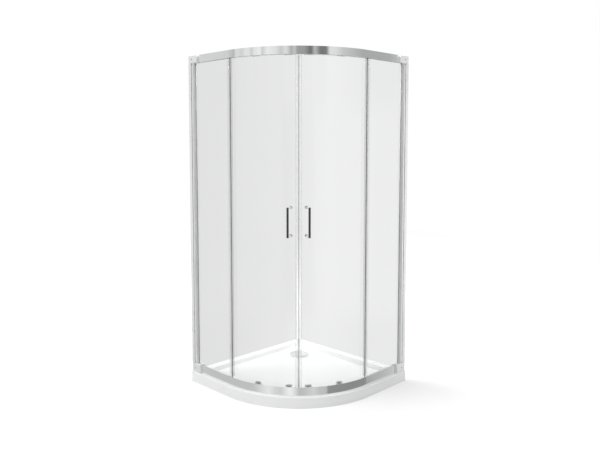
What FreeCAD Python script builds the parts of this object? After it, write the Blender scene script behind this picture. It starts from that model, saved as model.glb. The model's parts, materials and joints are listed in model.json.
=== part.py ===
"""Quadrant shower enclosure: tray, frame, two fixed panes and two curved sliding doors.

Millimetres, +Z up.  The origin is at floor level, in the middle of the footprint.  One wall
is the plane x = -half_side and the other is y = +half_side, so the round front faces +X -Y.
A "left" piece stands by the first wall and a "right" piece by the second.
"""
import FreeCAD, Part
import math
import os
import Sketcher

DIMENSIONS = {
    # tray
    "half_side": 450.0,
    "front_arc": 550.0,
    "tray_height": 60.0,
    "tray_skin": 4.0,
    "tray_edge_round": 3.0,
    "basin_depth": 22.0,
    "basin_slope": 14.0,
    "basin_corner": 40.0,
    "rim_at_wall": 50.0,
    "rim_at_front": 62.0,
    "drain_from_wall": 187.0,
    "drain_fall": 3.0,
    "drain_dish": 110.0,
    "drain_bore": 47.0,
    "waste_recess": 75.0,
    "waste_roof": 22.0,
    # waste
    "flange_rim": 57.0,
    "flange_lip": 2.5,
    "flange_tube": 45.0,
    "flange_bore": 41.5,
    "flange_foot": 1.0,
    "thread_radius": 44.5,
    "waste_seal_rim": 66.0,
    "waste_seal_thick": 3.0,
    "clamp_rim": 68.0,
    "clamp_foot": 9.0,
    "cover_rim": 60.0,
    "cover_raised": 3.0,
    "cover_lip": 1.5,
    "cover_lip_width": 6.0,
    "cover_thick": 4.5,
    "cover_leg_foot": 18.0,
    "cover_leg_width": 5.0,
    # frame
    "frame_height": 1850.0,
    "profile_set_in": 5.0,
    "profile_depth": 32.0,
    "profile_width": 24.0,
    "profile_wall": 2.0,
    "post_width": 40.0,
    "post_slide_gap": 0.4,
    "post_back": 8.0,
    "post_slot_depth": 12.0,
    "gasket": 1.5,
    "connector_width": 76.0,
    "connector_round": 2.5,
    "connector_slot": 26.0,
    "tongue_length": 18.0,
    "tongue_thick": 7.0,
    "frame_screw_at": 30.5,
    "rail_set_in": 16.0,
    "rail_depth": 26.0,
    "rail_wall": 2.0,
    "top_rail_height": 42.0,
    "bottom_rail_height": 50.0,
    "bottom_fence_drop": 7.0,
    "wall_hole": 2.75,
    "wall_hole_pitch": 780.0,
    # glass
    "glass": 5.0,
    "pane_set_in": 26.0,
    "pane_start": 31.0,
    "pane_end": 349.0,
    "pane_end_gap": 6.0,
    "seal_clip": 1.2,
    "seal_grip": 9.0,
    "wedge_height": 14.0,
    "buffer_at": 214.0,
    "buffer_thick": 12.0,
    "buffer_height": 20.0,
    "door_set_in": 44.0,
    "door_first": 1.1,
    "door_last": 49.0,
    "door_bottom": 80.0,
    "door_top": 1892.0,
    # running gear
    "wheel_set_in": 34.8,
    "wheel_width": 6.0,
    "wheel_round": 10.7,
    "wheel_lift": 11.0,
    "wheel_edge": 0.8,
    "wheel_bore": 2.55,
    "axle_radius": 2.5,
    "axle_head": 4.0,
    "lead_carrier": 6.1,
    "trail_carrier": 26.6,
    "clamp_gap": 0.9,
    "plate_gap": 0.7,
    "plate_thick": 1.9,
    "clamp_bolt": 4.2,
    "bolt_drop": 5.0,
    "bolt_rise": 12.0,
    "glass_hole": 4.5,
    "top_cover_width": 49.0,
    "top_cover_height": 32.0,
    "top_cover_depth": 12.0,
    "top_cover_drop": 0.5,
    "top_plate_width": 32.0,
    "top_plate_height": 17.0,
    "block_width": 38.0,
    "block_depth": 13.0,
    "block_drop": 12.0,
    "block_bridge_width": 18.0,
    "block_bore_width": 17.0,
    "block_bore_depth": 13.0,
    "button_width": 37.0,
    "button_height": 6.0,
    "button_stem_width": 15.0,
    "button_travel": 3.0,
    "spring_coil": 2.6,
    "spring_wire": 0.4,
    "spring_rise": 5.6,
    # handles
    "handle_at": 4.7,
    "handle_low": 918.0,
    "handle_long": 160.0,
    "handle_reach": 47.0,
    "handle_shift": 12.0,
    "handle_wide": 16.0,
    "handle_thick": 10.0,
    "handle_edge": 3.0,
    "handle_leg_width": 10.0,
    "handle_leg_height": 9.0,
    "handle_foot_inset": 6.0,
    "cap_radius": 8.5,
    "cap_thick": 5.8,
    "washer_thick": 1.5,
    "stud_radius": 3.5,
}

doc = FreeCAD.newDocument("quadrant_enclosure")
sheet = doc.addObject("Spreadsheet::Sheet", "Dims")
for row, (alias, number) in enumerate(DIMENSIONS.items(), start=1):
    sheet.set(f"A{row}", alias)
    sheet.set(f"B{row}", str(number))
    sheet.setAlias(f"B{row}", alias)
doc.recompute()


class Size:
    """A number together with the sheet expression that gives it."""

    def __init__(self, value, text=None):
        self.value = float(value)
        self.text = text or repr(float(value))

    def __add__(self, other):
        other = size(other)
        return Size(self.value + other.value, f"({self.text} + {other.text})")

    def __sub__(self, other):
        other = size(other)
        return Size(self.value - other.value, f"({self.text} - {other.text})")

    def __mul__(self, other):
        other = size(other)
        return Size(self.value * other.value, f"({self.text} * {other.text})")

    def __truediv__(self, other):
        other = size(other)
        return Size(self.value / other.value, f"({self.text} / {other.text})")

    def __neg__(self):
        return self * -1

    def __rsub__(self, other):
        return size(other) - self

    __radd__ = __add__
    __rmul__ = __mul__


def size(number):
    return number if isinstance(number, Size) else Size(number)


def cosine(angle):
    return Size(math.cos(math.radians(angle.value)), f"cos({angle.text} * 1 deg)")


def sine(angle):
    return Size(math.sin(math.radians(angle.value)), f"sin({angle.text} * 1 deg)")


class Dims:
    """The sheet's cells, each as a Size."""


for alias, number in DIMENSIONS.items():
    setattr(Dims, alias, Size(number, f"Dims.{alias}"))

ZERO = size(0)
Z_AXIS = FreeCAD.Vector(0, 0, 1)
SIDES = {"left": -1, "right": 1}
SEAM_BEARING = -45

TRAY_TOP = Dims.tray_height
FRAME_TOP = TRAY_TOP + Dims.frame_height
TOP_RAIL_FOOT = FRAME_TOP - Dims.top_rail_height
BOTTOM_RAIL_HEAD = TRAY_TOP + Dims.bottom_rail_height
ARC_X = Dims.front_arc - Dims.half_side
ARC_CENTRE = (-ARC_X, ARC_X)
DRAIN = (Dims.drain_from_wall - Dims.half_side, Dims.half_side - Dims.drain_from_wall)
BASIN_FLOOR = TRAY_TOP - Dims.basin_depth
DRAIN_FLOOR = BASIN_FLOOR - Dims.drain_fall

DOOR_FACE = Dims.front_arc - Dims.door_set_in
DOOR_BACK = DOOR_FACE - Dims.glass
TRACK_FOOT = TOP_RAIL_FOOT + Dims.rail_wall
TOP_AXLE = TRACK_FOOT + Dims.wheel_lift
BOTTOM_AXLE = TRAY_TOP + Dims.rail_wall + Dims.wheel_lift
WHEEL_FACE = Dims.front_arc - Dims.wheel_set_in
WHEEL_BACK = WHEEL_FACE - Dims.wheel_width
CLAMP_BACK = DOOR_BACK - Dims.clamp_gap
PLATE_BACK = DOOR_FACE + Dims.plate_gap
PLATE_FACE = PLATE_BACK + Dims.plate_thick
BLOCK_HEAD = BOTTOM_RAIL_HEAD - Dims.block_drop

nodes = {}


# ---------------------------------------------------------------- drawing helpers

def keep(thing, label):
    """Names a finished piece, so that it is checked and written."""
    thing.Label = label
    nodes[label] = thing
    return thing


def put(thing, x=ZERO, y=ZERO, z=ZERO, turn=ZERO):
    """Places a piece, turned about the vertical, with every value bound to the sheet."""
    x, y, z, turn = size(x), size(y), size(z), size(turn)
    base = FreeCAD.Vector(x.value, y.value, z.value)
    thing.Placement = FreeCAD.Placement(base, FreeCAD.Rotation(Z_AXIS, 1))
    thing.setExpression("Placement.Base.x", x.text)
    thing.setExpression("Placement.Base.y", y.text)
    thing.setExpression("Placement.Base.z", z.text)
    thing.setExpression("Placement.Rotation.Angle", turn.text)
    return thing


def put_on_arc(thing, bearing, z=ZERO):
    """Places a piece drawn with +X outwards from the arc's centre, at a bearing."""
    return put(thing, ARC_CENTRE[0], ARC_CENTRE[1], z, bearing)


def new_body(label):
    body = doc.addObject("PartDesign::Body", label)
    body.Label = label
    return body


def new_sketch(body, plane, depth=ZERO):
    """A sketch on one of the body's own origin planes, moved along its normal."""
    sketch = body.newObject("Sketcher::SketchObject", f"{body.Label}_sketch")
    support = [item for item in body.Origin.OriginFeatures if item.Role == plane]
    sketch.AttachmentSupport = [(support[0], "")]
    sketch.MapMode = "FlatFace"
    sketch.setExpression("AttachmentOffset.Base.z", size(depth).text)
    return sketch


def bind_last(sketch, length):
    sketch.setExpression(f"Constraints[{sketch.ConstraintCount - 1}]", length.text)


def fix_point(sketch, edge, end, corner):
    """Ties an end of an edge to its place, measured from the sketch's origin."""
    for kind, length in zip(("DistanceX", "DistanceY"), corner):
        sketch.addConstraint(Sketcher.Constraint(kind, -1, 1, edge, end, length.value))
        bind_last(sketch, length)


def arc_edge(start, end, centre, radius):
    """An anticlockwise arc from start to end."""
    circle = Part.Circle(vector(centre), Z_AXIS, radius.value)
    angles = [math.atan2(p[1].value - centre[1].value, p[0].value - centre[0].value)
              for p in (start, end)]
    if angles[1] < angles[0]:
        angles[1] += 2 * math.pi
    return Part.ArcOfCircle(circle, *angles)


def vector(point):
    return FreeCAD.Vector(point[0].value, point[1].value, 0)


def draw(sketch, corners, arcs=None, closed=True):
    """Joins corners with lines.  arcs gives (centre, radius) for the edge after a corner."""
    arcs = arcs or {}
    corners = [tuple(size(number) for number in corner) for corner in corners]
    count = len(corners) if closed else len(corners) - 1
    first = sketch.GeometryCount
    for index in range(count):
        start, end = corners[index], corners[(index + 1) % len(corners)]
        if index in arcs:
            centre, radius = arcs[index]
            sketch.addGeometry(arc_edge(start, end, centre, radius), False)
        else:
            sketch.addGeometry(Part.LineSegment(vector(start), vector(end)), False)
    for index in range(count if closed else count - 1):
        after = first + (index + 1) % count
        sketch.addConstraint(Sketcher.Constraint("Coincident", first + index, 2, after, 1))
    for index in range(count):
        fix_point(sketch, first + index, 1, corners[index])
    if not closed:
        fix_point(sketch, first + count - 1, 2, corners[-1])
    for index, (_, radius) in arcs.items():
        sketch.addConstraint(Sketcher.Constraint("Radius", first + index, radius.value))
        bind_last(sketch, radius)
    return sketch


def add_pad(body, corners, height, base=ZERO, arcs=None, holes=()):
    """Adds an outline in plan, raised from base by height, with optional holes."""
    sketch = draw(new_sketch(body, "XY_Plane", base), corners, arcs)
    for hole in holes:
        draw(sketch, hole)
    pad = body.newObject("PartDesign::Pad", f"{body.Label}_pad")
    pad.Profile = sketch
    pad.setExpression("Length", size(height).text)
    return pad


def add_turning(body, corners, upright=False):
    """Adds a section turned about the body's X axis, or about Z when upright."""
    sketch = draw(new_sketch(body, "XZ_Plane" if upright else "XY_Plane"), corners)
    turning = body.newObject("PartDesign::Revolution", f"{body.Label}_turning")
    turning.Profile = sketch
    turning.ReferenceAxis = (sketch, ["V_Axis" if upright else "H_Axis"])
    turning.Angle = 360
    return turning


def add_rounding(body, radius, wanted):
    """Rounds the edges that wanted picks out."""
    doc.recompute()
    base = body.Tip
    edges = enumerate(base.Shape.Edges, start=1)
    names = [f"Edge{index}" for index, edge in edges if wanted(edge)]
    rounding = body.newObject("PartDesign::Fillet", f"{body.Label}_rounding")
    rounding.Base = (base, names)
    rounding.setExpression("Radius", size(radius).text)
    return rounding


def plan_body(label, corners, height, z=ZERO, arcs=None, holes=()):
    body = new_body(label)
    add_pad(body, corners, height, arcs=arcs, holes=holes)
    return put(body, z=z)


def turned(label, corners):
    body = new_body(label)
    add_turning(body, corners)
    return body


def rod(label, start, end, radius):
    """A plain round bar along its own X axis."""
    return turned(label, [(start, 0), (end, 0), (end, radius), (start, radius)])


def rectangle(x_low, y_low, x_high, y_high):
    return [(x_low, y_low), (x_high, y_low), (x_high, y_high), (x_low, y_high)]


def side_rectangle(side, along_low, out_low, along_high, out_high):
    """A rectangle by a wall: along is the distance from the wall, out from the tray's edge."""
    return side_outline(side, rectangle(along_low, out_low, along_high, out_high))


def side_outline(side, corners):
    """Takes (along, out) corners of the left side to the plan of either side."""
    half = Dims.half_side
    if side == "left":
        return [(along - half, out - half) for along, out in corners]
    return [(half - out, half - along) for along, out in corners]


def boolean(kind, label, base, tools):
    """Cuts the tools from the base, or fuses them with it."""
    if kind == "cut":
        tool = tools[0] if len(tools) == 1 else boolean("fuse", f"{label}_tools", *split(tools))
        result = doc.addObject("Part::Cut", label)
        result.Base, result.Tool = base, tool
    else:
        result = doc.addObject("Part::MultiFuse", label)
        result.Shapes = [base, *tools]
        result.Refine = True
    result.Label = label
    return result


def split(things):
    return things[0], things[1:]


def group(label, things):
    """Identical pieces that share one node."""
    compound = doc.addObject("Part::Compound", label)
    compound.Links = things
    return keep(compound, label)


def ring_sector(label, inner, outer, height, z, start, sweep):
    """A curved wall about the arc's centre, from a bearing through a sweep."""
    drums = []
    for name, radius in (("outer", outer), ("inner", inner)):
        drum = doc.addObject("Part::Cylinder", f"{label}_{name}")
        drum.Label = f"{label}_{name}"
        drum.setExpression("Radius", radius.text)
        drum.setExpression("Height", height.text)
        drum.setExpression("Angle", sweep.text)
        drums.append(put_on_arc(drum, start, z))
    return boolean("cut", label, drums[0], drums[1:])


# ---------------------------------------------------------------- tray and waste

def quadrant(wall_inset, front_inset):
    """The tray's outline, drawn in from its walls and from its round front."""
    half = Dims.half_side
    near, far = half - wall_inset, half - front_inset
    corners = [(-near, near), (-near, -far), (-ARC_X, -far), (far, ARC_X), (far, near)]
    arcs = {2: (ARC_CENTRE, Dims.front_arc - front_inset)}
    return corners, arcs


def rounded_quadrant(wall_inset, front_inset, corner):
    """The same outline with its three square corners rounded."""
    half = Dims.half_side
    near, far = half - wall_inset, half - front_inset
    corners = [
        (corner - near, near), (-near, near - corner),
        (-near, corner - far), (corner - near, -far),
        (-ARC_X, -far), (far, ARC_X),
        (far, near - corner), (far - corner, near),
    ]
    arcs = {
        0: ((corner - near, near - corner), corner),
        2: ((corner - near, corner - far), corner),
        4: (ARC_CENTRE, Dims.front_arc - front_inset),
        6: ((far - corner, near - corner), corner),
    }
    return corners, arcs


def tray_blank(label, skin):
    """The whole tray, or its core when a skin is taken off every face but the bottom."""
    body = new_body(label)
    corners, arcs = quadrant(skin, skin)
    add_pad(body, corners, TRAY_TOP - skin, arcs=arcs)
    doc.recompute()
    mouth = new_sketch(body, "XY_Plane", TRAY_TOP - skin)
    wall, front = Dims.rim_at_wall - skin, Dims.rim_at_front - skin
    draw(mouth, *rounded_quadrant(wall, front, Dims.basin_corner))
    floor = new_sketch(body, "XY_Plane", BASIN_FLOOR - skin)
    slope = Dims.basin_slope
    draw(floor, *rounded_quadrant(wall + slope, front + slope, Dims.basin_corner))
    basin = body.newObject("PartDesign::SubtractiveLoft", f"{label}_basin")
    basin.Profile = mouth
    basin.Sections = [floor]
    dish_floor = DRAIN_FLOOR - skin
    dish = new_sketch(body, "XZ_Plane")
    draw(dish, [(0, dish_floor), (Dims.cover_rim, dish_floor),
                (Dims.drain_dish, BASIN_FLOOR - skin), (0, BASIN_FLOOR - skin)])
    dish.setExpression("AttachmentOffset.Base.x", DRAIN[0].text)
    dish.setExpression("AttachmentOffset.Base.z", (-DRAIN[1]).text)
    groove = body.newObject("PartDesign::Groove", f"{label}_dish")
    groove.Profile = dish
    groove.ReferenceAxis = (dish, ["V_Axis"])
    groove.Angle = 360
    return body


def drum_at_drain(label, radius, height, z=ZERO):
    drum = doc.addObject("Part::Cylinder", label)
    drum.Label = label
    drum.setExpression("Radius", size(radius).text)
    drum.setExpression("Height", size(height).text)
    return put(drum, DRAIN[0], DRAIN[1], z)


def on_tray_front(edge):
    """True on the top edge of the tray's three outer faces."""
    middle = edge.valueAt((edge.FirstParameter + edge.LastParameter) / 2)
    half, top = Dims.half_side.value, TRAY_TOP.value
    reach = math.hypot(middle.x - ARC_CENTRE[0].value, middle.y - ARC_CENTRE[1].value)
    outer = middle.y < 1 - half or middle.x > half - 1 or abs(reach - Dims.front_arc.value) < 1
    return abs(middle.z - top) < 0.01 and outer


def make_tray():
    whole = tray_blank("tray_whole", ZERO)
    add_rounding(whole, Dims.tray_edge_round, on_tray_front)
    core = tray_blank("tray_core_blank", Dims.tray_skin)
    bore = drum_at_drain("tray_bore", Dims.drain_bore, TRAY_TOP)
    recess = drum_at_drain("tray_recess", Dims.waste_recess, Dims.waste_roof)
    keep(boolean("cut", "tray_shell", whole, [core, bore]), "tray_shell")
    keep(boolean("cut", "tray_core", core, [bore, recess]), "tray_core")


def make_waste():
    """The flange in the dish, clamped from below on a seal, and the cover that lifts off."""
    top = DRAIN_FLOOR + Dims.flange_lip
    tube, bore, rim = Dims.flange_tube, Dims.flange_bore, Dims.flange_rim
    thread, foot = Dims.thread_radius, Dims.flange_foot
    edge = size(1)
    seat, seal_rim = Dims.waste_roof, Dims.waste_seal_rim
    seal_foot = seat - Dims.waste_seal_thick
    clamp_foot, clamp_rim = Dims.clamp_foot, Dims.clamp_rim
    sections = {
        "waste_flange": [
            (bore, foot), (thread, foot), (thread, clamp_foot), (tube, clamp_foot),
            (tube, DRAIN_FLOOR), (rim, DRAIN_FLOOR), (rim, top - edge), (rim - edge * 2, top),
            (bore + edge, top), (bore, top - edge)],
        "waste_seal": [
            (Dims.drain_bore, seal_foot), (seal_rim, seal_foot), (seal_rim, seat),
            (Dims.drain_bore, seat)],
        "waste_clamp": [
            (tube, clamp_foot), (clamp_rim, clamp_foot), (clamp_rim, seal_foot),
            (tube, seal_foot)],
    }
    for label, corners in sections.items():
        body = new_body(label)
        add_turning(body, corners, upright=True)
        keep(put(body, DRAIN[0], DRAIN[1]), label)
    make_waste_cover(top)


def make_waste_cover(flange_top):
    """A domed disc with a rolled-down lip, on four guide legs and four short feet."""
    cover = new_body("waste_cover")
    disc_foot = flange_top + Dims.cover_raised
    lip_foot, rim = disc_foot - Dims.cover_lip, Dims.cover_rim
    lip_start = rim - Dims.cover_lip_width
    crown, edge = Dims.cover_thick, size(1)
    add_turning(cover, [
        (0, disc_foot), (lip_start, disc_foot), (lip_start, lip_foot), (rim, lip_foot),
        (rim, disc_foot + edge), (lip_start - edge * 2, disc_foot + crown - edge),
        (0, disc_foot + crown)], upright=True)
    half_width = Dims.cover_leg_width / 2
    leg_rim, foot_rim = Dims.flange_bore - 0.5, lip_start - 3
    rests = flange_top + 0.3
    for turn in (0, 90, 180, 270):
        spoke = size(turn)
        across, outwards = sine(spoke), cosine(spoke)
        for reach_high, foot in ((leg_rim, Dims.cover_leg_foot), (foot_rim, rests)):
            reach_low = reach_high - Dims.cover_leg_width
            corners = []
            for reach, offset in ((reach_low, -half_width), (reach_high, -half_width),
                                  (reach_high, half_width), (reach_low, half_width)):
                corners.append((outwards * reach - across * offset,
                                across * reach + outwards * offset))
            add_pad(cover, corners, disc_foot + edge / 2 - foot, foot)
    keep(put(cover, DRAIN[0], DRAIN[1]), "waste_cover")


# ---------------------------------------------------------------- frame

def make_wall_profile(side):
    """A channel whose back stands on the wall, with slots in its back for three screws."""
    low, deep, wide, wall = (Dims.profile_set_in, Dims.profile_depth, Dims.profile_width,
                             Dims.profile_wall)
    high = low + deep
    corners = [(ZERO, low), (wide, low), (wide, low + wall), (wall, low + wall),
               (wall, high - wall), (wide, high - wall), (wide, high), (ZERO, high)]
    foot = BOTTOM_RAIL_HEAD
    channel = plan_body(f"wall_channel_{side}", side_outline(side, corners),
                        TOP_RAIL_FOOT - foot, foot)
    middle = low + deep / 2
    drills = []
    for step in (-1, 0, 1):
        drill = rod(f"wall_drill_{side}_{step + 2}", -10, 10, Dims.wall_hole)
        height = (TRAY_TOP + FRAME_TOP) / 2 + Dims.wall_hole_pitch * step
        x, y = side_outline(side, [(ZERO, middle)])[0]
        drills.append(put(drill, x, y, height, 0 if side == "left" else 90))
    label = f"wall_profile_{side}"
    keep(boolean("cut", label, channel, drills), label)


def make_side_post(side):
    """A hollow post that slides into the wall profile and holds the pane in a slot."""
    play = Dims.profile_wall + Dims.post_slide_gap
    low = Dims.profile_set_in + play
    high = Dims.profile_set_in + Dims.profile_depth - play
    wide, wall = Dims.post_width, Dims.profile_wall
    slot_low = Dims.pane_set_in - Dims.gasket
    slot_high = Dims.pane_set_in + Dims.glass + Dims.gasket
    slot_end = wide - Dims.post_slot_depth
    back = Dims.post_back
    slant_long, slant_deep = size(3), size(3)
    corners = [(back, low), (wide - slant_long, low), (wide, low + slant_deep),
               (wide, slot_low), (slot_end, slot_low), (slot_end, slot_high),
               (wide, slot_high), (wide, high), (back, high)]
    hollow = [(back + wall, low + wall), (slot_end - wall, low + wall),
              (slot_end - wall, high - wall), (back + wall, high - wall)]
    foot = BOTTOM_RAIL_HEAD
    label = f"side_post_{side}"
    post = plan_body(label, side_outline(side, corners), TOP_RAIL_FOOT - foot, foot,
                     holes=[side_outline(side, hollow)])
    keep(post, label)


def rail(label, section):
    """A rail of one section, run along both straight sides and round the front."""
    body = new_body(label)
    face = Dims.half_side - Dims.rail_set_in
    start = Dims.connector_width - Dims.half_side
    path = new_sketch(body, "XY_Plane")
    draw(path, [(start, -face), (-ARC_X, -face), (face, ARC_X), (face, -start)],
         {1: (ARC_CENTRE, Dims.front_arc - Dims.rail_set_in)}, closed=False)
    profile = new_sketch(body, "YZ_Plane", start)
    draw(profile, [(out - Dims.half_side, z) for out, z in section])
    sweep = body.newObject("PartDesign::AdditivePipe", f"{label}_sweep")
    sweep.Profile = profile
    sweep.Spine = (path, ["Edge1", "Edge2", "Edge3"])
    keep(body, label)


def make_rails():
    out_face, wall = Dims.rail_set_in, Dims.rail_wall
    out_back = out_face + Dims.rail_depth
    fence = Dims.pane_set_in + Dims.glass + 0.5
    foot, head = TOP_RAIL_FOOT, FRAME_TOP
    roof = head - wall
    rail("top_rail", [
        (out_face, foot), (out_face + wall, foot), (out_face + wall, roof), (fence, roof),
        (fence, foot), (out_back, foot), (out_back, foot + wall), (fence + wall, foot + wall),
        (fence + wall, roof), (out_back, roof), (out_back, head), (out_face, head)])
    foot, head = TRAY_TOP, BOTTOM_RAIL_HEAD
    floor, fence_head = foot + wall, head - Dims.bottom_fence_drop
    rail("bottom_rail", [
        (out_face, foot), (out_back, foot), (out_back, floor), (fence + wall, floor),
        (fence + wall, fence_head), (fence, fence_head),
        (fence, floor), (out_face + wall, floor), (out_face + wall, head), (out_face, head)])


def make_connector(side, level):
    """The moulded corner that joins a post to a rail and lets the pane into its slot."""
    label = f"corner_{level}_{side}"
    low, high = Dims.profile_set_in, Dims.rail_set_in + Dims.rail_depth + 1
    wide = Dims.connector_width
    foot = TOP_RAIL_FOOT if level == "top" else TRAY_TOP
    tall = (FRAME_TOP if level == "top" else BOTTOM_RAIL_HEAD) - foot
    block = new_body(f"{label}_block")
    add_pad(block, side_rectangle(side, ZERO, low, wide, high), tall)
    front = Dims.half_side.value - low.value
    add_rounding(block, Dims.connector_round, lambda edge: on_connector_front(edge, front))
    tongue_low, tongue_foot = Dims.rail_set_in + Dims.rail_wall + 0.2, size(4)
    tongue = side_rectangle(side, wide - 1, tongue_low, wide + Dims.tongue_length,
                            tongue_low + Dims.tongue_thick)
    add_pad(block, tongue, Dims.top_rail_height - tongue_foot * 2, tongue_foot)
    put(block, z=foot)
    ease, slot_floor = size(0.3), size(7.5)
    slot_low = Dims.pane_set_in - ease
    slot = side_rectangle(side, Dims.connector_slot, slot_low, wide + 1,
                          slot_low + Dims.glass + ease * 2)
    cutter = plan_body(f"{label}_slot", slot, tall - slot_floor + 0.5,
                       foot - 0.5 if level == "top" else foot + slot_floor)
    keep(boolean("cut", label, block, [cutter]), label)


def on_connector_front(edge, front):
    """True on every edge that bounds the connector's outer face, and on no other."""
    ends = [vertex.Point for vertex in edge.Vertexes]
    return all(abs(end.y + front) < 0.01 for end in ends) or all(
        abs(end.x - front) < 0.01 for end in ends)


def make_screws():
    """Pan-head screws through the corners and the post ends, seen on the outer faces."""
    screws = []
    post_face = Dims.profile_set_in + Dims.profile_wall + Dims.post_slide_gap
    beyond = 8
    head, shank, sunk, proud = size(4), size(1.75), size(-1.2), size(1.6)
    profile = [(sunk, 0), (proud, 0), (proud, shank * 0.8), (proud * 0.7, head * 0.85),
               (0, head), (0, shank), (sunk, shank)]
    for side in SIDES:
        places = ((Dims.profile_set_in, (TRAY_TOP + BOTTOM_RAIL_HEAD) / 2),
                  (Dims.profile_set_in, (FRAME_TOP + TOP_RAIL_FOOT) / 2),
                  (post_face, BOTTOM_RAIL_HEAD + beyond), (post_face, TOP_RAIL_FOOT - beyond))
        for number, (out, height) in enumerate(places, start=1):
            screw = turned(f"frame_screw_{side}_{number}", profile)
            x, y = side_outline(side, [(Dims.frame_screw_at, out)])[0]
            screws.append(put(screw, x, y, height, -90 if side == "left" else 0))
    group("frame_screws", screws)


def edge_seal_corners():
    """A clip on the pane's free edge, with a fin that reaches for the sliding door."""
    face, back = Dims.pane_set_in, Dims.pane_set_in + Dims.glass
    end, clip, gap = Dims.pane_end, Dims.seal_clip, size(0.2)
    outer, inner = face - gap - clip, back + gap + clip
    grip, closed = end - Dims.seal_grip, end + gap
    fin_low, fin_high = end + 0.8, end + 0.8 + clip
    fin_tip = Dims.door_set_in - 1.6
    return [(grip, outer), (fin_high, outer), (fin_high, fin_tip), (fin_low, fin_tip),
            (fin_low, inner), (grip, inner), (grip, back + gap), (closed, back + gap),
            (closed, face - gap), (grip, face - gap)]


def make_panes():
    seals, gaskets, wedges = [], [], []
    pane_low = TRAY_TOP + Dims.rail_wall + Dims.pane_end_gap
    pane_high = FRAME_TOP - Dims.rail_wall - Dims.pane_end_gap
    face, back = Dims.pane_set_in, Dims.pane_set_in + Dims.glass
    start, end, soft = Dims.pane_start, Dims.pane_end, Dims.gasket
    seal_tall, seal_foot = TOP_RAIL_FOOT - BOTTOM_RAIL_HEAD - 2, BOTTOM_RAIL_HEAD + 1
    for side in SIDES:
        label = f"fixed_glass_{side}"
        pane = side_rectangle(side, start, face, end, back)
        keep(plan_body(label, pane, pane_high - pane_low, pane_low), label)
        seal = side_outline(side, edge_seal_corners())
        seals.append(plan_body(f"edge_seal_{side}", seal, seal_tall, seal_foot))

        # soft strips between the pane and the post's slot
        for number, (low, high) in enumerate(((face - soft, face), (back, back + soft))):
            strip = side_rectangle(side, start, low, Dims.post_width, high)
            gaskets.append(plan_body(f"gasket_{side}_{number + 1}", strip,
                                     TOP_RAIL_FOOT - BOTTOM_RAIL_HEAD, BOTTOM_RAIL_HEAD))

        # wedges that press the pane against the fence of each rail
        wedge = side_rectangle(side, Dims.connector_width + Dims.tongue_length + 2,
                               Dims.rail_set_in + Dims.rail_wall + 0.2,
                               end - Dims.seal_grip - 1, face - 0.1)
        levels = (("bottom", BOTTOM_RAIL_HEAD - Dims.wedge_height), ("top", TOP_RAIL_FOOT + 4))
        for level, foot in levels:
            wedges.append(plan_body(f"wedge_{level}_{side}", wedge, Dims.wedge_height, foot))
    group("fixed_edge_seals", seals)
    group("post_gaskets", gaskets)
    group("glazing_wedges", wedges)


def make_buffers():
    """Rubber stops in the top rail's track, one at the end of each door's travel."""
    buffers = []
    near, thick = Dims.buffer_at, Dims.buffer_thick
    out = Dims.wheel_set_in - 0.5
    for side in SIDES:
        block = side_rectangle(side, near, out, near + thick, out + Dims.wheel_width + 0.5)
        buffers.append(plan_body(f"buffer_{side}", block, Dims.buffer_height, TRACK_FOOT))
    group("rail_buffers", buffers)


# ---------------------------------------------------------------- doors

def bearing_of(side, angle):
    """The bearing of a place on a door, from its angle off the middle seam."""
    return SEAM_BEARING + SIDES[side] * angle


def carrier_angles():
    return {"lead": Dims.lead_carrier, "trail": Dims.trail_carrier}


def bolt_heights():
    """The heights of the clamp bolts through a door's glass, top and bottom."""
    return {"top": TOP_AXLE - Dims.bolt_drop, "bottom": Dims.door_bottom + Dims.bolt_rise}


def make_door_glass(side):
    label = f"door_glass_{side}"
    sweep = Dims.door_last - Dims.door_first
    nearest = Dims.door_first if side == "right" else Dims.door_last
    sheet_glass = ring_sector(f"{label}_sheet", DOOR_BACK, DOOR_FACE,
                              Dims.door_top - Dims.door_bottom, Dims.door_bottom,
                              bearing_of(side, nearest), sweep)
    holes = [(Dims.handle_at, height) for height in handle_heights()]
    for height in bolt_heights().values():
        holes += [(angle, height) for angle in carrier_angles().values()]
    drills = []
    for number, (angle, height) in enumerate(holes, start=1):
        drill = rod(f"{label}_drill_{number}", DOOR_BACK - 5, DOOR_FACE + 5, Dims.glass_hole)
        drills.append(put_on_arc(drill, bearing_of(side, angle), height))
    keep(boolean("cut", label, sheet_glass, drills), label)


def handle_heights():
    """The heights of a handle's two feet."""
    low, inset = Dims.handle_low, Dims.handle_foot_inset
    return (low + inset, low + Dims.handle_long - inset + 2)


def make_handle(side):
    """A flat bar on two slanted legs, held through the glass by round caps."""
    label = f"handle_{side}"
    body = new_body(label)
    shift, half = SIDES[side] * Dims.handle_shift, Dims.handle_wide / 2
    bar_back = DOOR_FACE + Dims.handle_reach - Dims.handle_thick / 2
    add_pad(body, rectangle(bar_back, shift - half, bar_back + Dims.handle_thick, shift + half),
            Dims.handle_long, Dims.handle_low)
    long_edge = Dims.handle_long.value - 1
    add_rounding(body, Dims.handle_edge, lambda edge: edge.Length > long_edge)
    leg_foot = DOOR_FACE + Dims.washer_thick + 0.3
    leg_head, leg_half = bar_back + 2, Dims.handle_leg_width / 2
    leg = [(leg_foot, -leg_half), (leg_head, shift - leg_half), (leg_head, shift + leg_half),
           (leg_foot, leg_half)]
    low_foot, high_foot = handle_heights()
    for start in (low_foot - Dims.handle_foot_inset, high_foot - leg_half):
        add_pad(body, leg, Dims.handle_leg_height, start)
    keep(put_on_arc(body, bearing_of(side, Dims.handle_at)), label)
    make_handle_fixings(side)


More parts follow.
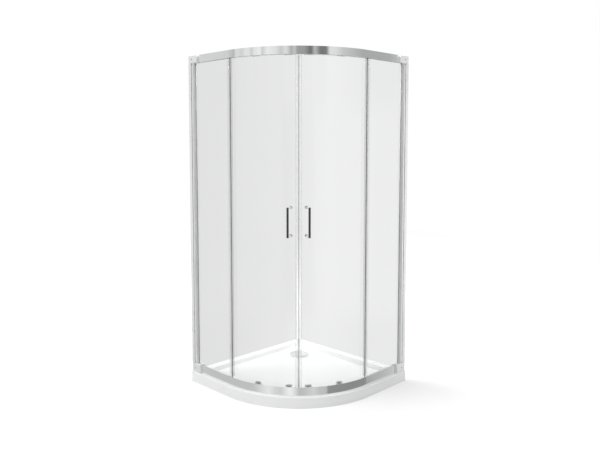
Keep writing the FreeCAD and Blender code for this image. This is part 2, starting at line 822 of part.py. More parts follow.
def make_handle_fixings(side):
    """Inside, a cap with its stud through the glass; outside, a washer under each leg."""
    fixings = []
    stud, rim, edge = Dims.stud_radius, Dims.cap_radius, size(1)
    play = size(0.2)
    cap_face, cap_back = DOOR_BACK - play, DOOR_BACK - play - Dims.cap_thick
    washer_back = DOOR_FACE + play
    washer_face = washer_back + Dims.washer_thick
    hole = stud + play / 2
    for number, height in enumerate(handle_heights(), start=1):
        cap = turned(f"handle_cap_{side}_{number}", [
            (cap_back, 0), (washer_face, 0), (washer_face, stud), (cap_face, stud),
            (cap_face, rim), (cap_back + edge, rim), (cap_back, rim - edge)])
        washer = turned(f"handle_washer_{side}_{number}", [
            (washer_back, hole), (washer_face, hole), (washer_face, rim - edge),
            (washer_face - edge / 2, rim), (washer_back, rim)])
        for piece in (cap, washer):
            fixings.append(put_on_arc(piece, bearing_of(side, Dims.handle_at), height))
    group(f"handle_fixings_{side}", fixings)


def clip_faces():
    """The four radii of a clip seal on a door's edge: outside and inside of both legs."""
    thick, gap = Dims.seal_clip, size(0.3)
    return DOOR_BACK - gap - thick, DOOR_BACK - gap, DOOR_FACE + gap, DOOR_FACE + gap + thick


def make_magnet_seal(side):
    """A clear profile on the leading edge, with a magnet strip in its nose."""
    hand = SIDES[side]
    foot = Dims.door_bottom + 1
    tall = TOP_RAIL_FOOT - foot - 1
    low, inner, outer, high = clip_faces()
    nose, edge, grip = size(-12.7), size(-3.9), size(4.8)
    corners = [(low, nose), (high, nose), (high, grip), (outer, grip), (outer, edge),
               (inner, edge), (inner, grip), (low, grip)]
    skin, strip_thick, ease = size(1.3), size(3.2), size(0.1)
    front = nose + 0.5
    pocket = [(low + skin, front), (high - skin, front), (high - skin, front + strip_thick),
              (low + skin, front + strip_thick)]
    strip = [(low + skin + ease, front + ease), (high - skin - ease, front + ease),
             (high - skin - ease, front + strip_thick - ease),
             (low + skin + ease, front + strip_thick - ease)]
    turn = bearing_of(side, size(1.5))
    seal = plan_body(f"magnet_seal_{side}", mirrored(corners, hand), tall,
                     holes=[mirrored(pocket, hand)])
    magnet = plan_body(f"magnet_strip_{side}", mirrored(strip, hand), tall)
    keep(put_on_arc(seal, turn, foot), seal.Label)
    keep(put_on_arc(magnet, turn, foot), magnet.Label)


def mirrored(corners, hand):
    """Turns tangential distances towards the door's own side, keeping the corner order."""
    return [(radial, size(across) * hand) for radial, across in corners][::hand]


def make_trailing_seal(side):
    """A clip on the trailing edge whose fin closes against the fixed pane's seal."""
    low, inner, outer, high = clip_faces()
    edge, grip, thick = size(3.7), size(-5), Dims.seal_clip
    fin_tip = DOOR_FACE + Dims.seal_grip
    corners = [(inner, grip), (inner, edge), (outer, edge), (outer, grip), (high, grip),
               (high, edge), (fin_tip, edge), (fin_tip, edge + thick),
               (low, edge + thick), (low, grip)]
    label = f"trailing_seal_{side}"
    seal = plan_body(label, mirrored(corners, SIDES[side]),
                     TOP_RAIL_FOOT - BOTTOM_RAIL_HEAD - 2)
    bearing = bearing_of(side, Dims.door_last - 0.4)
    keep(put_on_arc(seal, bearing, BOTTOM_RAIL_HEAD + 1), label)


def around(middle_low, middle_high, width):
    """A rectangle between two radii, centred across the bearing."""
    return rectangle(middle_low, -width / 2, middle_high, width / 2)


def make_carriers(side):
    """The brackets that carry the wheels, with their clamp bolts and wheel axles."""
    top_blocks, bottom_blocks, bolts, axles = [], [], [], []
    for name, angle in carrier_angles().items():
        bearing = bearing_of(side, angle)
        tag = f"{name}_{side}"
        top_blocks += make_top_carrier(tag, bearing)
        bottom_blocks.append(make_bottom_carrier(tag, bearing))
        for level, height in bolt_heights().items():
            bolt = rod(f"{level}_bolt_{tag}", CLAMP_BACK, PLATE_BACK, Dims.clamp_bolt)
            bolts.append(put_on_arc(bolt, bearing, height))
        for level, height in (("top", TOP_AXLE), ("bottom", BOTTOM_AXLE)):
            axles.append(make_wheel(f"{level}_{tag}", bearing, height))
        make_release_button(tag, bearing)
    group(f"top_carriers_{side}", top_blocks)
    group(f"bottom_carriers_{side}", bottom_blocks)
    group(f"carrier_bolts_{side}", bolts)
    group(f"wheel_axles_{side}", axles)


def make_top_carrier(tag, bearing):
    """A rounded cover inside the glass and a plate outside it, under the top rail."""
    cover = new_body(f"top_cover_{tag}")
    back = DOOR_BACK - Dims.top_cover_depth
    add_pad(cover, around(back, CLAMP_BACK, Dims.top_cover_width), Dims.top_cover_height)
    add_rounding(cover, 2, lambda edge: abs(edge.CenterOfMass.x - back.value) < 0.01)
    put_on_arc(cover, bearing, TOP_RAIL_FOOT - Dims.top_cover_drop)
    plate = plan_body(f"top_plate_{tag}", around(PLATE_BACK, PLATE_FACE, Dims.top_plate_width),
                      Dims.top_plate_height)
    put_on_arc(plate, bearing, TOP_AXLE + 9.8 - Dims.top_plate_height)
    return [cover, plate]


def make_bottom_carrier(tag, bearing):
    """A block inside the glass, bored for the button, that reaches under the glass."""
    foot, bridge = BOTTOM_AXLE - 6, Dims.block_bridge_width
    block = new_body(f"bottom_block_{tag}")
    back = DOOR_BACK - Dims.block_depth
    add_pad(block, around(back, CLAMP_BACK, Dims.block_width), BLOCK_HEAD - foot, foot)
    add_pad(block, around(DOOR_BACK - 1, PLATE_FACE, bridge), Dims.door_bottom - 1 - foot, foot)
    add_pad(block, around(PLATE_BACK, PLATE_FACE, bridge), BLOCK_HEAD - foot, foot)
    opening = new_sketch(block, "XY_Plane", BLOCK_HEAD + 1)
    draw(opening, around(back + 2, DOOR_BACK - 3, Dims.block_bore_width))
    bore = block.newObject("PartDesign::Pocket", f"bottom_block_{tag}_bore")
    bore.Profile = opening
    bore.setExpression("Length", (Dims.block_bore_depth + 1).text)
    return put_on_arc(block, bearing)


def make_wheel(tag, bearing, height):
    """A grooveless wheel on its own axle, which has a shoulder and a head."""
    play, head, shaft = size(0.2), Dims.axle_head, Dims.axle_radius
    axle = turned(f"axle_{tag}", [
        (PLATE_FACE, 0), (WHEEL_FACE + 0.7, 0), (WHEEL_FACE + 0.7, head),
        (WHEEL_FACE + play, head), (WHEEL_FACE + play, shaft), (WHEEL_BACK - play, shaft),
        (WHEEL_BACK - play, head), (PLATE_FACE, head)])
    rim, bore, edge = Dims.wheel_round, Dims.wheel_bore, Dims.wheel_edge
    wheel = turned(f"wheel_{tag}", [
        (WHEEL_BACK, bore), (WHEEL_FACE, bore), (WHEEL_FACE, rim - edge),
        (WHEEL_FACE - edge, rim), (WHEEL_BACK + edge, rim), (WHEEL_BACK, rim - edge)])
    keep(put_on_arc(wheel, bearing, height), wheel.Label)
    return put_on_arc(axle, bearing, height)


def make_release_button(tag, bearing):
    """A cap over the bottom carrier that is pressed down to free the wheel, on a spring."""
    button = new_body(f"release_button_{tag}")
    tall = Dims.button_height
    cap_foot = BLOCK_HEAD + Dims.button_travel + 1.5
    back = DOOR_BACK - Dims.block_depth + 0.5
    add_pad(button, around(back, DOOR_BACK - 1.5, Dims.button_width), tall, cap_foot)
    cap_edge, cap_head = back.value, (cap_foot + tall).value
    add_rounding(button, 1.5, lambda edge: abs(edge.CenterOfMass.z - cap_head) < 0.01
                 or abs(edge.CenterOfMass.x - cap_edge) < 0.01)
    stem_foot = BLOCK_HEAD - 6
    add_pad(button, around(back + 2, DOOR_BACK - 3.5, Dims.button_stem_width),
            cap_foot + 1 - stem_foot, stem_foot)
    keep(put_on_arc(button, bearing), button.Label)

    spring = new_body(f"button_spring_{tag}")
    wire, coil = Dims.spring_wire, Dims.spring_coil
    section = new_sketch(spring, "XZ_Plane")
    centre = FreeCAD.Vector(coil.value, wire.value, 0)
    section.addGeometry(Part.Circle(centre, Z_AXIS, wire.value), False)
    section.addConstraint(Sketcher.Constraint("Radius", 0, wire.value))
    bind_last(section, wire)
    fix_point(section, 0, 3, (coil, wire))
    helix = spring.newObject("PartDesign::AdditiveHelix", f"button_spring_{tag}_coil")
    helix.Profile = section
    helix.ReferenceAxis = (section, ["V_Axis"])
    helix.Mode = "height-turns-growth"
    helix.setExpression("Height", Dims.spring_rise.text)
    helix.Turns = 3
    middle = DOOR_BACK - 7
    place = (ARC_CENTRE[0] + middle * cosine(bearing), ARC_CENTRE[1] + middle * sine(bearing))
    bore_floor = BLOCK_HEAD - Dims.block_bore_depth
    keep(put(spring, place[0], place[1], bore_floor + 0.1), spring.Label)


# ---------------------------------------------------------------- the whole

def make_all():
    make_tray()
    make_waste()
    for side in SIDES:
        make_wall_profile(side)
        make_side_post(side)
        for level in ("bottom", "top"):
            make_connector(side, level)
    make_rails()
    make_screws()
    make_panes()
    make_buffers()
    for side in SIDES:
        make_door_glass(side)
        make_handle(side)
        make_magnet_seal(side)
        make_trailing_seal(side)
        make_carriers(side)
    doc.recompute()


def check_all():
    for thing in doc.Objects:
        if "Invalid" in thing.State or "Error" in thing.State:
            raise RuntimeError(f"{thing.Label} did not recompute: {thing.State}")
    for label, thing in nodes.items():
        if thing.Shape.isNull() or not thing.Shape.isValid() or not thing.Shape.Solids:
            raise RuntimeError(f"{label} has no valid solid")


def write_all():
    os.makedirs("parts", exist_ok=True)
    for label, thing in nodes.items():
        thing.Shape.exportStep(f"parts/{label}.step")
    print(f"{len(nodes)} parts written")


make_all()
check_all()
write_all()
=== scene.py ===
"""Looks for a quadrant shower enclosure: finishes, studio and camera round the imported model."""

import json
import math

import bpy
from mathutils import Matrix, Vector


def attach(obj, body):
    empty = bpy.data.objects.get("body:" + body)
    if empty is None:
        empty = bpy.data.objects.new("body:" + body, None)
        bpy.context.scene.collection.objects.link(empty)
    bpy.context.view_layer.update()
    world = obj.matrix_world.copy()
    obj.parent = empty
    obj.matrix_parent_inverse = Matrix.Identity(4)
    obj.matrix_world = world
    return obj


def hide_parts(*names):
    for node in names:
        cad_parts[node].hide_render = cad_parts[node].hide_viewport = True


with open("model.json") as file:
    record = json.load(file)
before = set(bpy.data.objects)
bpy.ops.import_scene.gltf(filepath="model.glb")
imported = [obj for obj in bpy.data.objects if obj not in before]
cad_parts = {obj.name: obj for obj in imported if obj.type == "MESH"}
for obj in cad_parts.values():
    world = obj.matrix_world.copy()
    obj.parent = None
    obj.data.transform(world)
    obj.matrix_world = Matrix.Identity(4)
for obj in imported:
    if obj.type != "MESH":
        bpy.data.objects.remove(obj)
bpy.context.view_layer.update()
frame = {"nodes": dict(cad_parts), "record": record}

# Places are in metres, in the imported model's frame, and angles in degrees.
SIDES = {"left": -1, "right": 1}
ARC_CENTRE = (-0.1, 0.1)

# How far the frame's front faces lie out from the arc's centre.
RAIL_FACE, POST_FACE, CORNER_FACE = 0.534, 0.5426, 0.545

# The release buttons: their carriers' angles from the middle seam, whose bearing is -45
# degrees, their distance out from the arc's centre and the height of their tops.
SEAM_BEARING = -45.0
CARRIER_ANGLES = {"lead": 6.1, "trail": 26.6}
BUTTON_REACH = 0.494
BUTTON_TOP = 0.1085


# ---------------------------------------------------------------- node helpers

class Nodes:
    """Adds and joins the nodes of one material or world."""

    def __init__(self, tree):
        self.tree = tree
        tree.nodes.clear()

    def add(self, kind, inputs=None, **settings):
        """Adds a node; each input is a plain value or another node's output."""
        node = self.tree.nodes.new(kind)
        for name, value in settings.items():
            setattr(node, name, value)
        for name, value in (inputs or {}).items():
            socket = node.inputs[name]
            if isinstance(value, bpy.types.NodeSocket):
                self.tree.links.new(value, socket)
            else:
                socket.default_value = value
        return node

    def math(self, operation, first, second=0.0):
        node = self.add("ShaderNodeMath", {0: first, 1: second}, operation=operation)
        return node.outputs[0]

    def grey_ramp(self, value, stops):
        """Greys by value, from stops that each give a place and a level."""
        node = self.add("ShaderNodeValToRGB", {"Fac": value})
        band = node.color_ramp
        while len(band.elements) < len(stops):
            band.elements.new(0.5)
        for element, (place, level) in zip(band.elements, stops):
            element.position = place
            element.color = grey(level)
        return node.outputs["Color"]

    def mix_colour(self, factor, first, second):
        node = self.add("ShaderNodeMix", {"Factor": factor, 6: first, 7: second},
                        data_type="RGBA")
        return node.outputs[2]

    def mix_shader(self, factor, first, second):
        node = self.add("ShaderNodeMixShader", {0: factor, 1: first, 2: second})
        return node.outputs[0]

    def spread(self, value, low, high):
        """Takes the middle half of 0 to 1, where noise mostly lies, to low and high."""
        node = self.add("ShaderNodeMapRange", {"Value": value, "From Min": 0.25,
                                               "From Max": 0.75, "To Min": low, "To Max": high})
        return node.outputs[0]


def grey(level):
    return (level, level, level, 1.0)


def noise(nodes, scale, detail, stretch=(1.0, 1.0, 1.0)):
    """Noise in the object's own space, in cycles a metre, drawn out by stretch."""
    place = nodes.add("ShaderNodeTexCoord").outputs["Object"]
    mapping = nodes.add("ShaderNodeMapping", {"Vector": place, "Scale": stretch})
    texture = nodes.add("ShaderNodeTexNoise", {"Vector": mapping.outputs[0], "Scale": scale,
                                               "Detail": detail, "Roughness": 0.55})
    return texture.outputs["Fac"]


def finish_of(name, colour, rough, metallic=0.0, vary=0.03, rough_vary=0.05, grain=400.0,
              bump=0.00002, stretch=(1.0, 1.0, 1.0), broad=6.0, **shader_values):
    """A material with colour drift, uneven gloss and a fine surface grain."""
    material = bpy.data.materials.new(name)
    material.use_nodes = True
    nodes = Nodes(material.node_tree)
    drift = noise(nodes, broad, detail=4.0)
    fine = noise(nodes, grain, detail=3.0, stretch=stretch)
    dark = tuple(channel * (1 - vary) for channel in colour) + (1.0,)
    light = tuple(min(1.0, channel * (1 + vary)) for channel in colour) + (1.0,)
    base = nodes.mix_colour(nodes.spread(drift, 0.0, 1.0), dark, light)
    both = nodes.math("ADD", nodes.math("MULTIPLY", drift, 0.6),
                      nodes.math("MULTIPLY", fine, 0.4))
    roughness = nodes.spread(both, max(0.0, rough - rough_vary), rough + rough_vary)
    bumped = nodes.add("ShaderNodeBump", {"Height": fine, "Distance": bump, "Strength": 1.0})
    values = {"Base Color": base, "Roughness": roughness, "Metallic": metallic,
              "Normal": bumped.outputs[0]}
    values.update(shader_values)
    shader = nodes.add("ShaderNodeBsdfPrincipled", values)
    nodes.add("ShaderNodeOutputMaterial", {"Surface": shader.outputs[0]})
    return material, nodes, shader


def reach_from_arc(nodes):
    """A point's distance out from the front arc's centre, or straight out by the walls."""
    place = nodes.add("ShaderNodeTexCoord").outputs["Object"]
    parts = nodes.add("ShaderNodeSeparateXYZ", {0: place})
    across = nodes.math("SUBTRACT", parts.outputs["X"], ARC_CENTRE[0])
    down = nodes.math("SUBTRACT", ARC_CENTRE[1], parts.outputs["Y"])
    corner = nodes.add("ShaderNodeCombineXYZ", {
        0: nodes.math("MAXIMUM", across, 0.0), 1: nodes.math("MAXIMUM", down, 0.0), 2: 0.0})
    return nodes.add("ShaderNodeVectorMath", {0: corner.outputs[0]},
                     operation="LENGTH").outputs["Value"]


def faced_finish(name, colour, rough, face, inner, **values):
    """The finish given for what reaches out to face, and a plainer one behind it.

    The plainer one has inner's metallic value and is rougher by its rough value. Its colour is
    the same multiplied by its shade tone; a tone below 1 is painted shade on the faces behind
    the front face.
    """
    behind, level_with = face - 0.0015, face - 0.0005
    material, nodes, shader = finish_of(name, colour, rough, **values)
    on_face = nodes.add("ShaderNodeMapRange", {
        "Value": reach_from_arc(nodes), "From Min": behind,
        "From Max": level_with}).outputs[0]
    even = shader.inputs["Roughness"].links[0].from_socket
    dull = nodes.math("ADD", even, inner["rough"])
    gloss = nodes.add("ShaderNodeMix", {"Factor": on_face, "A": dull, "B": even})
    nodes.tree.links.new(gloss.outputs[0], shader.inputs["Roughness"])
    solid = nodes.add("ShaderNodeMapRange", {
        "Value": on_face, "To Min": inner["metallic"],
        "To Max": shader.inputs["Metallic"].default_value})
    nodes.tree.links.new(solid.outputs[0], shader.inputs["Metallic"])
    base = shader.inputs["Base Color"].links[0].from_socket
    # Multiplying by the tone darkens the colour behind the face: painted shade where the tone is
    # below 1.
    toned = nodes.add("ShaderNodeMix", {"Factor": 1.0, 6: base, 7: grey(inner["shade_tone"])},
                      data_type="RGBA", blend_type="MULTIPLY").outputs[2]
    nodes.tree.links.new(nodes.mix_colour(on_face, toned, base), shader.inputs["Base Color"])
    return material


# ---------------------------------------------------------------- finishes

def make_finishes():
    """Every finish by name: those of the model's slots, and a few for single nodes."""
    silver = (0.88, 0.885, 0.89)
    upright = (40.0, 40.0, 0.6)
    plain = {
        "tray_white": ((0.86, 0.865, 0.865), 0.16, {
            "vary": 0.012, "rough_vary": 0.05, "grain": 90.0, "bump": 0.00006,
            "Coat Weight": 0.4, "Coat Roughness": 0.06}),
        "tray_core": ((0.55, 0.54, 0.5), 0.8, {"vary": 0.08, "grain": 160.0, "bump": 0.0004}),
        "waste_chrome": (silver, 0.14, {"metallic": 0.9, "rough_vary": 0.04}),
        "seal_rubber": ((0.14, 0.14, 0.145), 0.6, {"vary": 0.1, "bump": 0.00008}),
        "dark_plastic": ((0.03, 0.03, 0.032), 0.35, {"vary": 0.15, "bump": 0.00005}),
        "frame_silver": (silver, 0.28, {"metallic": 0.8, "stretch": upright}),
        "seal_pale": ((0.74, 0.745, 0.75), 0.45, {"vary": 0.03}),
        "magnet_grey": ((0.24, 0.24, 0.245), 0.6, {"vary": 0.1}),
        "steel": ((0.5, 0.5, 0.505), 0.3, {"metallic": 1.0, "rough_vary": 0.1}),
        "handle_chrome": ((0.82, 0.825, 0.83), 0.06, {"metallic": 1.0, "rough_vary": 0.03}),
        "carrier_white": ((0.92, 0.92, 0.915), 0.22, {"vary": 0.02, "Coat Weight": 0.6}),
        "button_grey": ((0.9, 0.9, 0.905), 0.2, {"metallic": 0.25, "vary": 0.03}),
        "press_pad": ((0.2, 0.2, 0.205), 0.55, {"vary": 0.1, "grain": 1500.0, "bump": 0.00005}),
        "wheel_nylon": ((0.8, 0.79, 0.77), 0.45, {"vary": 0.05}),
        "glass_clear": ((0.984, 0.988, 0.987), 0.004, {
            "vary": 0.004, "rough_vary": 0.004, "grain": 2.5, "bump": 0.0003, "broad": 3.0,
            "Transmission Weight": 1.0, "IOR": 1.45}),
        "seal_clear": ((0.82, 0.825, 0.83), 0.25, {"vary": 0.03, "Alpha": 0.08}),
        "edge_clear": ((0.45, 0.455, 0.46), 0.3, {"vary": 0.05, "Alpha": 0.2}),
    }
    finishes = {}
    for name, (colour, rough, values) in plain.items():
        finishes[name] = finish_of(name, colour, rough, **values)[0]
    faced = {
        "rail_polished": (0.05, RAIL_FACE, {"metallic": 0.25, "rough": 0.35, "shade_tone": 1.0}, {
            "metallic": 1.0, "rough_vary": 0.025, "stretch": (1.0, 1.0, 60.0), "grain": 60.0}),
        # The posts' tone of 0.95 is painted shade: it darkens every face behind their front face.
        "post_silver": (0.12, POST_FACE, {"metallic": 0.2, "rough": 0.3, "shade_tone": 0.95}, {
            "metallic": 0.9, "rough_vary": 0.03, "stretch": upright}),
        "corner_silver": (0.35, CORNER_FACE, {"metallic": 0.0, "rough": 0.1, "shade_tone": 1.0}, {
            "metallic": 0.8, "grain": 700.0}),
    }
    for name, (rough, face, inner, values) in faced.items():
        finishes[name] = faced_finish(name, silver, rough, face, inner, **values)
    return finishes


def dress_nodes(finishes):
    """Gives every node its slot's finish; some seals are thicker and look less clear."""
    wanted = {row["node"]: row["material_slot"] for row in frame["record"]["subparts"]}
    wanted.update({"fixed_edge_seals": "edge_clear", "post_gaskets": "seal_pale",
                   "glazing_wedges": "seal_pale"})
    for name, thing in frame["nodes"].items():
        thing.data.materials.clear()
        thing.data.materials.append(finishes[wanted[name]])


# ---------------------------------------------------------------- small pieces

def new_piece(name, points, faces, finish, body):
    """A smooth mesh that rides on a body of the model."""
    mesh = bpy.data.meshes.new(name)
    mesh.from_pydata(points, [], faces)
    mesh.polygons.foreach_set("use_smooth", [True] * len(mesh.polygons))
    mesh.materials.append(finish)
    mesh.update()
    piece = bpy.data.objects.new(name, mesh)
    bpy.context.scene.collection.objects.link(piece)
    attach(piece, body)
    return piece


def grid_faces(rings, around):
    """The quads between closed rings of points, capped at the first and last ring."""
    faces = [tuple(reversed(range(around)))]
    for ring in range(rings - 1):
        for step in range(around):
            beside = (step + 1) % around
            low, high = ring * around, (ring + 1) * around
            faces.append((low + step, low + beside, high + beside, high + step))
    faces.append(tuple(range((rings - 1) * around, rings * around)))
    return faces


def make_press_pads(finish):
    """A soft rounded pad let into the top of each release button, bent to the arc.

    The levels give each ring's rise over the button's top and its step in from the outline,
    and the corners give the signs of each corner's place and the angle that it starts at.
    """
    half_long, half_deep, corner = 0.016, 0.0032, 0.0030
    levels = ((-0.0004, 0.0), (0.0004, 0.0), (0.0008, 0.0003), (0.0010, 0.0009))
    corners = ((1, 1, 0), (-1, 1, 90), (-1, -1, 180), (1, -1, 270))
    corner_points = 7
    corner_step = 90.0 / (corner_points - 1)
    faces = grid_faces(len(levels), len(corners) * corner_points)
    for side, sign in SIDES.items():
        for place, angle in CARRIER_ANGLES.items():
            middle = math.radians(SEAM_BEARING + sign * angle)
            points = []
            for rise, inset in levels:
                for along_sign, deep_sign, first in corners:
                    for step in range(corner_points):
                        turn = math.radians(first + step * corner_step)
                        reach = corner - inset
                        along = along_sign * (half_long - corner) + math.cos(turn) * reach
                        deep = deep_sign * (half_deep - corner) + math.sin(turn) * reach
                        bearing = middle + along / BUTTON_REACH
                        points.append((ARC_CENTRE[0] + (BUTTON_REACH + deep) * math.cos(bearing),
                                       ARC_CENTRE[1] + (BUTTON_REACH + deep) * math.sin(bearing),
                                       BUTTON_TOP + rise))
            new_piece(f"press_pad_{place}_{side}", points, faces, finish,
                      f"release_button_{place}_{side}")


def head_height(across, along, reach):
    """How proud a screw's head stands: a low dome with a cross recess."""
    dome_height, dome_radius = 0.0016, 0.0041
    depth, half_wide, half_long = 0.0012, 0.00062, 0.0024
    side_slope, end_slope = 0.00022, 0.0006
    dome = dome_height * max(0.0, 1.0 - (reach / dome_radius) ** 4) ** 0.5
    recess = 0.0
    for first, second in ((across, along), (along, across)):
        inside = min(1.0, max(0.0, (half_wide - abs(first)) / side_slope))
        short = min(1.0, max(0.0, (half_long - abs(second)) / end_slope))
        recess = max(recess, inside * short)
    return dome - depth * recess


def make_screw_heads(finish):
    """Pan heads with a cross recess, four by each wall, each turned differently."""
    along_wall, head_radius, sunk = 0.4195, 0.004, -0.0004
    rings, around = 22, 64
    corner_face, post_face = CORNER_FACE + ARC_CENTRE[0], POST_FACE + ARC_CENTRE[0]
    places = ((corner_face, 0.085), (corner_face, 1.889), (post_face, 0.118),
              (post_face, 1.860))
    points, faces = [], []
    for side in SIDES:
        for number, (face, height) in enumerate(places):
            twist = math.radians(17.0 + 31.0 * number)
            first = len(points)
            for ring in range(rings + 1):
                reach = head_radius * (1 - ring / (rings + 0.5))
                for step in range(around):
                    turn = 2 * math.pi * step / around
                    across, along = reach * math.cos(turn), reach * math.sin(turn)
                    out = face + (head_height(across, along, reach) if ring else sunk)
                    level = across * math.cos(twist) - along * math.sin(twist)
                    rise = across * math.sin(twist) + along * math.cos(twist)
                    if side == "left":
                        points.append((-along_wall + level, -out, height + rise))
                    else:
                        points.append((out, along_wall + level, height + rise))
            faces += [tuple(first + corner for corner in face_corners)
                      for face_corners in grid_faces(rings + 1, around)]
    screws = new_piece("frame_screw_heads", points, faces, finish, "enclosure")
    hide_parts("frame_screws")


# ---------------------------------------------------------------- studio

CAMERA_AZIMUTH = math.radians(45.0)
TO_CAMERA = (math.sin(CAMERA_AZIMUTH), -math.cos(CAMERA_AZIMUTH), 0.0)
TO_RIGHT = (math.cos(CAMERA_AZIMUTH), math.sin(CAMERA_AZIMUTH), 0.0)


def make_world():
    """White for the camera; for metal, a studio of soft pale and dark screens.

    The screens stand in three bands, one over another, under a white ceiling. Each stop gives
    a turn in degrees, from the camera's side round to its right, and a level there.
    """
    world = bpy.data.worlds.new("studio")
    bpy.context.scene.world = world
    world.use_nodes = True
    nodes = Nodes(world.node_tree)
    ray = nodes.add("ShaderNodeTexCoord").outputs["Generated"]
    reach = [nodes.add("ShaderNodeVectorMath", {0: ray, 1: axis}, operation="DOT_PRODUCT")
             .outputs["Value"] for axis in (TO_RIGHT, TO_CAMERA, (0.0, 0.0, 1.0))]
    turn = nodes.math("ARCTAN2", reach[0], reach[1])
    round_it = nodes.math("ADD", nodes.math("DIVIDE", turn, 2 * math.pi), 0.5)
    upper = [(-180, 0.76), (-99.1, 0.76), (-98.4, 0.72), (-93, 0.64), (-86, 0.5),
             (-83.5, 0.78), (-77, 0.76), (-74, 0.68), (-68, 0.84), (-62, 0.84), (-59.5, 0.64),
             (-56, 0.83), (-47, 0.94), (-45, 0.66), (-38, 0.92), (-27, 0.82), (-21, 0.64),
             (-15, 0.82), (-8.5, 0.45), (-4.5, 0.66), (-2, 0.38), (7, 0.36), (15, 0.16),
             (19.5, 0.55), (26, 0.2), (34, 0.22), (38, 0.82), (46, 0.8), (55, 0.64), (85, 0.44),
             (98.5, 0.44), (99.1, 1.0)]
    middle = [(-180, 0.82), (-60, 0.8), (-24, 0.8), (-17, 0.055), (17, 0.06),
              (24, 0.85), (90, 1.0), (180, 1.0)]
    lower = [(-180, 0.74), (-99.2, 0.74), (-98.4, 0.58), (-60, 0.58), (-50, 0.72),
             (-38, 0.88), (-29, 0.72), (-22, 0.68), (-11, 0.97), (-6, 0.84), (1, 0.54),
             (5, 0.56), (12, 0.64), (19, 0.7), (26, 0.58), (35, 0.56), (37, 0.3), (60, 0.28),
             (92, 0.28), (96.2, 0.36), (96.6, 0.5), (98.4, 0.5), (99.2, 1.0), (180, 1.0)]
    through_glass = [(-180, 0.845), (-178.5, 0.81), (-172, 0.768), (172.5, 0.85),
                     (177.5, 0.885), (180, 0.85)]
    low_band, middle_band, high_band, beyond = [
        nodes.grey_ramp(round_it, [((degrees + 180.0) / 360.0, level)
                                   for degrees, level in stops])
        for stops in (lower, middle, upper, through_glass)]
    joins = ((middle_band, -0.29, -0.24), (high_band, 0.02, 0.1), (grey(1.0), 0.25, 0.6))
    screens = low_band
    for band, low, high in joins:
        height = nodes.add("ShaderNodeMapRange", {
            "Value": reach[2], "From Min": low, "From Max": high},
            interpolation_type="SMOOTHSTEP")
        screens = nodes.mix_colour(height.outputs[0], screens, band)

    path = nodes.add("ShaderNodeLightPath")
    room_light = grey(0.55)
    colour = nodes.mix_colour(path.outputs["Is Glossy Ray"], room_light, screens)
    colour = nodes.mix_colour(path.outputs["Is Transmission Ray"], colour, beyond)
    colour = nodes.mix_colour(path.outputs["Is Camera Ray"], colour, grey(1.0))
    shade = nodes.add("ShaderNodeBackground", {"Color": colour, "Strength": 1.0})
    nodes.add("ShaderNodeOutputWorld", {"Surface": shade.outputs[0]})


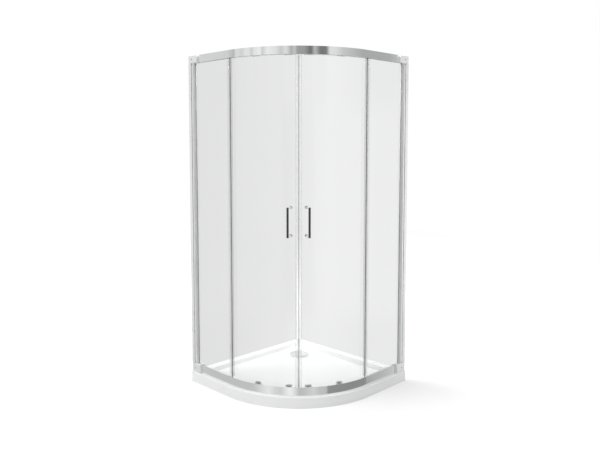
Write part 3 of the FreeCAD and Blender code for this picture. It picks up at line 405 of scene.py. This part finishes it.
def make_floor():
    """A pale floor that keeps the shadow; metal sees the studio's screens through it.

    Away from the part the camera sees it lighter, so that it runs into the white beyond.
    """
    half, just_below = 6.0, -0.0005
    mesh = bpy.data.meshes.new("floor")
    corners = [(-half, -half, 0), (half, -half, 0), (half, half, 0), (-half, half, 0)]
    mesh.from_pydata([Vector(corner) for corner in corners], [], [(0, 1, 2, 3)])
    floor = bpy.data.objects.new("floor", mesh)
    bpy.context.scene.collection.objects.link(floor)
    floor.location.z = just_below
    material = bpy.data.materials.new("floor_pale")
    material.use_nodes = True
    nodes = Nodes(material.node_tree)
    pale = nodes.add("ShaderNodeBsdfDiffuse", {"Color": grey(0.75)})
    place = nodes.add("ShaderNodeTexCoord").outputs["Object"]
    away = nodes.add("ShaderNodeVectorMath", {0: place}, operation="LENGTH").outputs["Value"]
    level = nodes.add("ShaderNodeMapRange", {"Value": away, "From Min": 0.8, "From Max": 1.9,
                                             "To Min": 0.2, "To Max": 0.5},
                      interpolation_type="SMOOTHSTEP")
    fill = nodes.add("ShaderNodeEmission", {"Color": grey(1.0), "Strength": level.outputs[0]})
    seen = nodes.add("ShaderNodeAddShader", {0: pale.outputs[0], 1: fill.outputs[0]})
    open_air = nodes.add("ShaderNodeBsdfTransparent")
    path = nodes.add("ShaderNodeLightPath")
    surface = nodes.mix_shader(path.outputs["Is Camera Ray"], pale.outputs[0],
                               seen.outputs[0])
    for kind in ("Is Glossy Ray", "Is Transmission Ray"):
        surface = nodes.mix_shader(path.outputs[kind], surface, open_air.outputs[0])
    nodes.add("ShaderNodeOutputMaterial", {"Surface": surface})
    mesh.materials.append(material)


def add_lamp(name, spot, target, size, power):
    """A square soft lamp in watts, which metal and glass don't show."""
    lamp = bpy.data.lights.new(name, "AREA")
    lamp.shape = "SQUARE"
    lamp.size = size
    lamp.energy = power
    holder = bpy.data.objects.new(name, lamp)
    holder.location = spot
    aim = Vector(target) - Vector(spot)
    holder.rotation_euler = aim.to_track_quat("-Z", "Y").to_euler()
    holder.visible_glossy = False
    holder.visible_transmission = False
    bpy.context.scene.collection.objects.link(holder)


def make_lamps():
    """Three lamps round the part, and a small one that lights the tray from inside."""
    middle = (0.0, 0.0, 0.6)
    add_lamp("key", (-1.4, -3.4, 4.2), middle, size=3.0, power=136.0)
    add_lamp("top", (0.2, 0.0, 5.0), middle, size=3.0, power=77.0)
    add_lamp("cabin", (*ARC_CENTRE, 2.4), (*ARC_CENTRE, 0.0), size=0.6, power=23.0)
    add_lamp("side", (3.6, 0.4, 2.6), middle, size=2.5, power=28.0)


def make_camera():
    """Looks at the curved front, from a place fitted to the tray, posts and rails."""
    away, height = 3.7087, 1.4062
    yaw, pitch = 0.00218, 0.07947
    camera = bpy.data.cameras.new("camera")
    camera.sensor_width = 36.0
    camera.lens = 38.272
    camera.shift_y = -0.0508
    camera.clip_start, camera.clip_end = 0.05, 60.0
    holder = bpy.data.objects.new("camera", camera)
    holder.location = (TO_CAMERA[0] * away, TO_CAMERA[1] * away, height)
    holder.rotation_euler = (math.pi / 2 - pitch, 0.0, CAMERA_AZIMUTH - yaw)
    bpy.context.scene.collection.objects.link(holder)
    bpy.context.scene.camera = holder


make_world()
make_floor()
make_lamps()
make_camera()
finishes = make_finishes()
dress_nodes(finishes)
make_press_pads(finishes["press_pad"])
make_screw_heads(finishes["steel"])
bpy.context.scene.view_settings.view_transform = "Standard"
